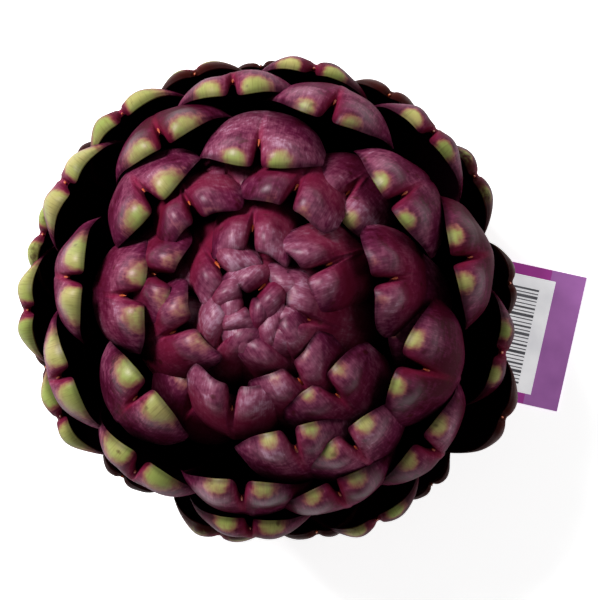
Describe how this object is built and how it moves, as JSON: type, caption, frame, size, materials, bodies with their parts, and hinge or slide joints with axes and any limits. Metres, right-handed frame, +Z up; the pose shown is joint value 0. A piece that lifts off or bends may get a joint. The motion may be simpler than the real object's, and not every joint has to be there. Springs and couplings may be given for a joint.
{
  "type": "globe artichoke",
  "caption": "Purple globe artichoke with layered notched bracts and a short flat-cut stem, standing in the round collar of a flat retail tag card",
  "frame": {"origin": "centre of the stem's flat-cut face, which stands on the table", "axes": "+Z up along the stem to the middle of the bud, +X towards the end of the tag card, +Y to its left"},
  "size_m": [0.1427, 0.1221, 0.0967],
  "materials": {
    "bract_flesh": "satin",
    "stem_flesh": "matte",
    "printed_card": "satin"
  },
  "bodies": {
    "root": {"head": "bract_flesh", "stem": "stem_flesh", "tag_card": "printed_card"}
  },
  "joints": []
}
